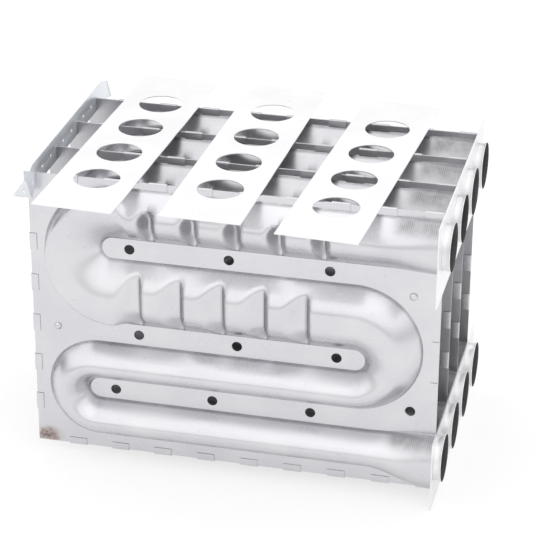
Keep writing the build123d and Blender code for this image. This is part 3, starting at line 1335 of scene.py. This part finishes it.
@dataclass(frozen=True)
class Studio:
    """A pale floor, a soft room with a bright ceiling and one large lamp.

    The levels are the room's brightness overhead and at the horizon, in front of the object and
    behind it. world_shine and floor_shine are the shares of plain white that metal mirrors there,
    and floor_glow is the share of it that the camera sees on the floor.
    """

    layout: Layout
    floor_size: float = 12.0
    front_overhead_level: float = 1.4
    back_overhead_level: float = 1.3
    front_level: float = 0.74
    back_level: float = 0.06
    world_shine: float = 0.2
    lamp_power: float = 4.0
    floor_glow: float = 0.72
    floor_shine: float = 0.4

    def build(self) -> None:
        """Make the floor, the world and the lamp."""
        bpy.context.scene.view_settings.view_transform = "Standard"
        self.build_floor()
        self.build_world()
        self.build_lamp("softbox", Vector((0.5, -1.0, 2.8)), 2.6, self.lamp_power)

    def build_floor(self) -> None:
        """A plain pale floor under the object that looks white to the camera."""
        start_clean()
        bpy.ops.mesh.primitive_plane_add(size=self.floor_size, location=(0, 0, CAD_BOX[0][2] - 0.0005))
        floor = bpy.context.object
        floor.name = "studio_floor"
        sheet = NodeSheet("studio_floor")
        rough = sheet.noise(sheet.stretch((1, 1, 1)), 40.0)
        sheet.join(sheet.bump(rough, 0.02, 0.001), sheet.shader.inputs["Normal"])
        sheet.shader.inputs["Base Color"].default_value = (0.93, 0.93, 0.93, 1)
        sheet.shader.inputs["Roughness"].default_value = 0.9
        rays = sheet.add("LightPath")
        shine = sheet.math("MAXIMUM", rays.outputs["Is Glossy Ray"], rays.outputs["Is Transmission Ray"])
        seen = sheet.math("MULTIPLY", rays.outputs["Is Camera Ray"], self.floor_glow)
        seen = sheet.math("MAXIMUM", seen, sheet.math("MULTIPLY", shine, self.floor_shine))
        glow = sheet.add("Emission")
        mix = sheet.add("MixShader")
        sheet.join(seen, mix.inputs[0])
        sheet.join(sheet.shader.outputs[0], mix.inputs[1])
        sheet.join(glow.outputs[0], mix.inputs[2])
        sheet.join(mix.outputs[0], sheet.output.inputs[0])
        floor.data.materials.append(sheet.material)

    def build_world(self) -> None:
        """Bright overhead, pale in front and dim behind, white to the camera and partly so to metal."""
        world = bpy.data.worlds.new("studio")
        bpy.context.scene.world = world
        world.use_nodes = True
        nodes, links = world.node_tree.nodes, world.node_tree.links
        nodes.clear()
        output = nodes.new("ShaderNodeOutputWorld")
        parts = nodes.new("ShaderNodeSeparateXYZ")
        links.new(nodes.new("ShaderNodeTexCoord").outputs["Object"], parts.inputs[0])
        room = self.fade(world.node_tree, parts.outputs["Y"], -0.2, 0.3)
        overhead = self.fade(world.node_tree, parts.outputs["Y"], -0.2, 0.4)
        sky = self.fade(world.node_tree, parts.outputs["Z"], 0.05, 0.42)
        for node, near, far in ((room, self.front_level, self.back_level),
                                (overhead, self.front_overhead_level, self.back_overhead_level)):
            node.inputs["To Min"].default_value = near
            node.inputs["To Max"].default_value = far
        links.new(room.outputs[0], sky.inputs["To Min"])
        links.new(overhead.outputs[0], sky.inputs["To Max"])
        lit = nodes.new("ShaderNodeBackground")
        links.new(sky.outputs[0], lit.inputs["Strength"])
        seen = nodes.new("ShaderNodeBackground")
        seen.inputs["Strength"].default_value = 1.0
        for background in (lit, seen):
            background.inputs["Color"].default_value = (1, 1, 1, 1)
        rays = nodes.new("ShaderNodeLightPath")
        shine = nodes.new("ShaderNodeMath")
        shine.operation = "MAXIMUM"
        links.new(rays.outputs["Is Glossy Ray"], shine.inputs[0])
        links.new(rays.outputs["Is Transmission Ray"], shine.inputs[1])
        white = nodes.new("ShaderNodeMath")
        white.operation = "MULTIPLY_ADD"
        links.new(shine.outputs[0], white.inputs[0])
        white.inputs[1].default_value = self.world_shine
        links.new(rays.outputs["Is Camera Ray"], white.inputs[2])
        mix = nodes.new("ShaderNodeMixShader")
        links.new(white.outputs[0], mix.inputs[0])
        links.new(lit.outputs[0], mix.inputs[1])
        links.new(seen.outputs[0], mix.inputs[2])
        links.new(mix.outputs[0], output.inputs[0])

    @staticmethod
    def fade(tree: bpy.types.NodeTree, value: Socket, low: float, high: float) -> bpy.types.Node:
        """Add a node that goes smoothly from one end to the other as a value grows.

        Args:
            tree: The node tree.
            value: The value.
            low: Where the change starts.
            high: Where it ends.

        Returns:
            The node, whose two ends are 0 and 1 until they are set.
        """
        node = tree.nodes.new("ShaderNodeMapRange")
        node.interpolation_type = "SMOOTHSTEP"
        tree.links.new(value, node.inputs["Value"])
        node.inputs["From Min"].default_value = low
        node.inputs["From Max"].default_value = high
        return node

    def build_lamp(self, name: str, place: Vector, size: float, power: float) -> None:
        """Hang a soft square lamp that is aimed at the middle of the object.

        Args:
            name: The lamp's name.
            place: Where it hangs.
            size: Its side in metres.
            power: Its power in watts.
        """
        data = bpy.data.lights.new(name, "AREA")
        data.energy = power
        data.size = size
        lamp = bpy.data.objects.new(name, data)
        bpy.context.scene.collection.objects.link(lamp)
        middle = Vector((0, 0, 0.2))
        turn = (middle - place).to_track_quat("-Z", "Y").to_matrix().to_4x4()
        lamp.matrix_world = Matrix.Translation(place) @ turn


def dress_solids(finishes: dict[str, bpy.types.Material]) -> None:
    """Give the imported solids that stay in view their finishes.

    Args:
        finishes: The material of each node by the node's name.
    """
    for name, material in finishes.items():
        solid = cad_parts[name]
        solid.data.materials.clear()
        solid.data.materials.append(material)


def main() -> None:
    """Build the scene in order and report each piece."""
    logging.basicConfig(level=logging.INFO, format="%(message)s")
    start_clean()
    layout = Layout.from_frame()
    PhotoCamera(layout).build()
    Studio(layout).build()
    # Painted shade: the halves that face another cell get a darker copy of the sheet colour, standing in for
    # the shade between the cells.
    shaded_inner = SheetFinish("aluminised_sheet", (0.62, 0.62, 0.64), (0.50, 0.50, 0.52), 1.0, 0.33,
                        draw_marks_and_shade=True).build()
    stained = SheetFinish("aluminised_sheet_burnt", (0.70, 0.70, 0.72), (0.63, 0.63, 0.66), 1.0, 0.28,
                          draw_marks_and_shade=True, burn_at=tuple(layout.place(14, -1, 9))).build()
    strap = SheetFinish("strap_sheet", (0.90, 0.90, 0.91), (0.84, 0.84, 0.85), 0.9, 0.34).build()
    plate = SheetFinish("plate_sheet", (0.88, 0.88, 0.89), (0.80, 0.80, 0.81), 0.9, 0.32).build()
    # Painted light: the web's zinc colour is raised to make up for the dim room that the upright web mirrors;
    # the ears, bent from the same sheet, keep a darker base colour.
    brightened_zinc = SheetFinish("galvanised_sheet", (0.88, 0.91, 0.94), (0.78, 0.81, 0.85), 0.6, 0.42).build()
    pale_zinc = SheetFinish("galvanised_ear", (0.80, 0.82, 0.84), (0.72, 0.75, 0.77), 0.9, 0.38).build()
    # Painted shade: the passage's inner wall is near black and without shine, soot darkened further so that
    # the tube mouths look shaded.
    inside = SheetFinish("passage_wall_painted_shade", (0.09, 0.09, 0.09), (0.05, 0.05, 0.05), 0.0, 0.75,
                         specular=0.0).build()
    # The tube ends get the strap finish, a painted highlight paler than the sheet they are rolled from.
    StampedCell(layout).build_all(shaded_inner, stained, inside, strap)
    CombBracket(layout).build(brightened_zinc, pale_zinc)
    dress_solids({"outlet_plate": plate, "inlet_plate": plate, "left_strap": strap, "middle_strap": strap,
                  "right_strap": strap})


if __name__ == "__main__":
    main()
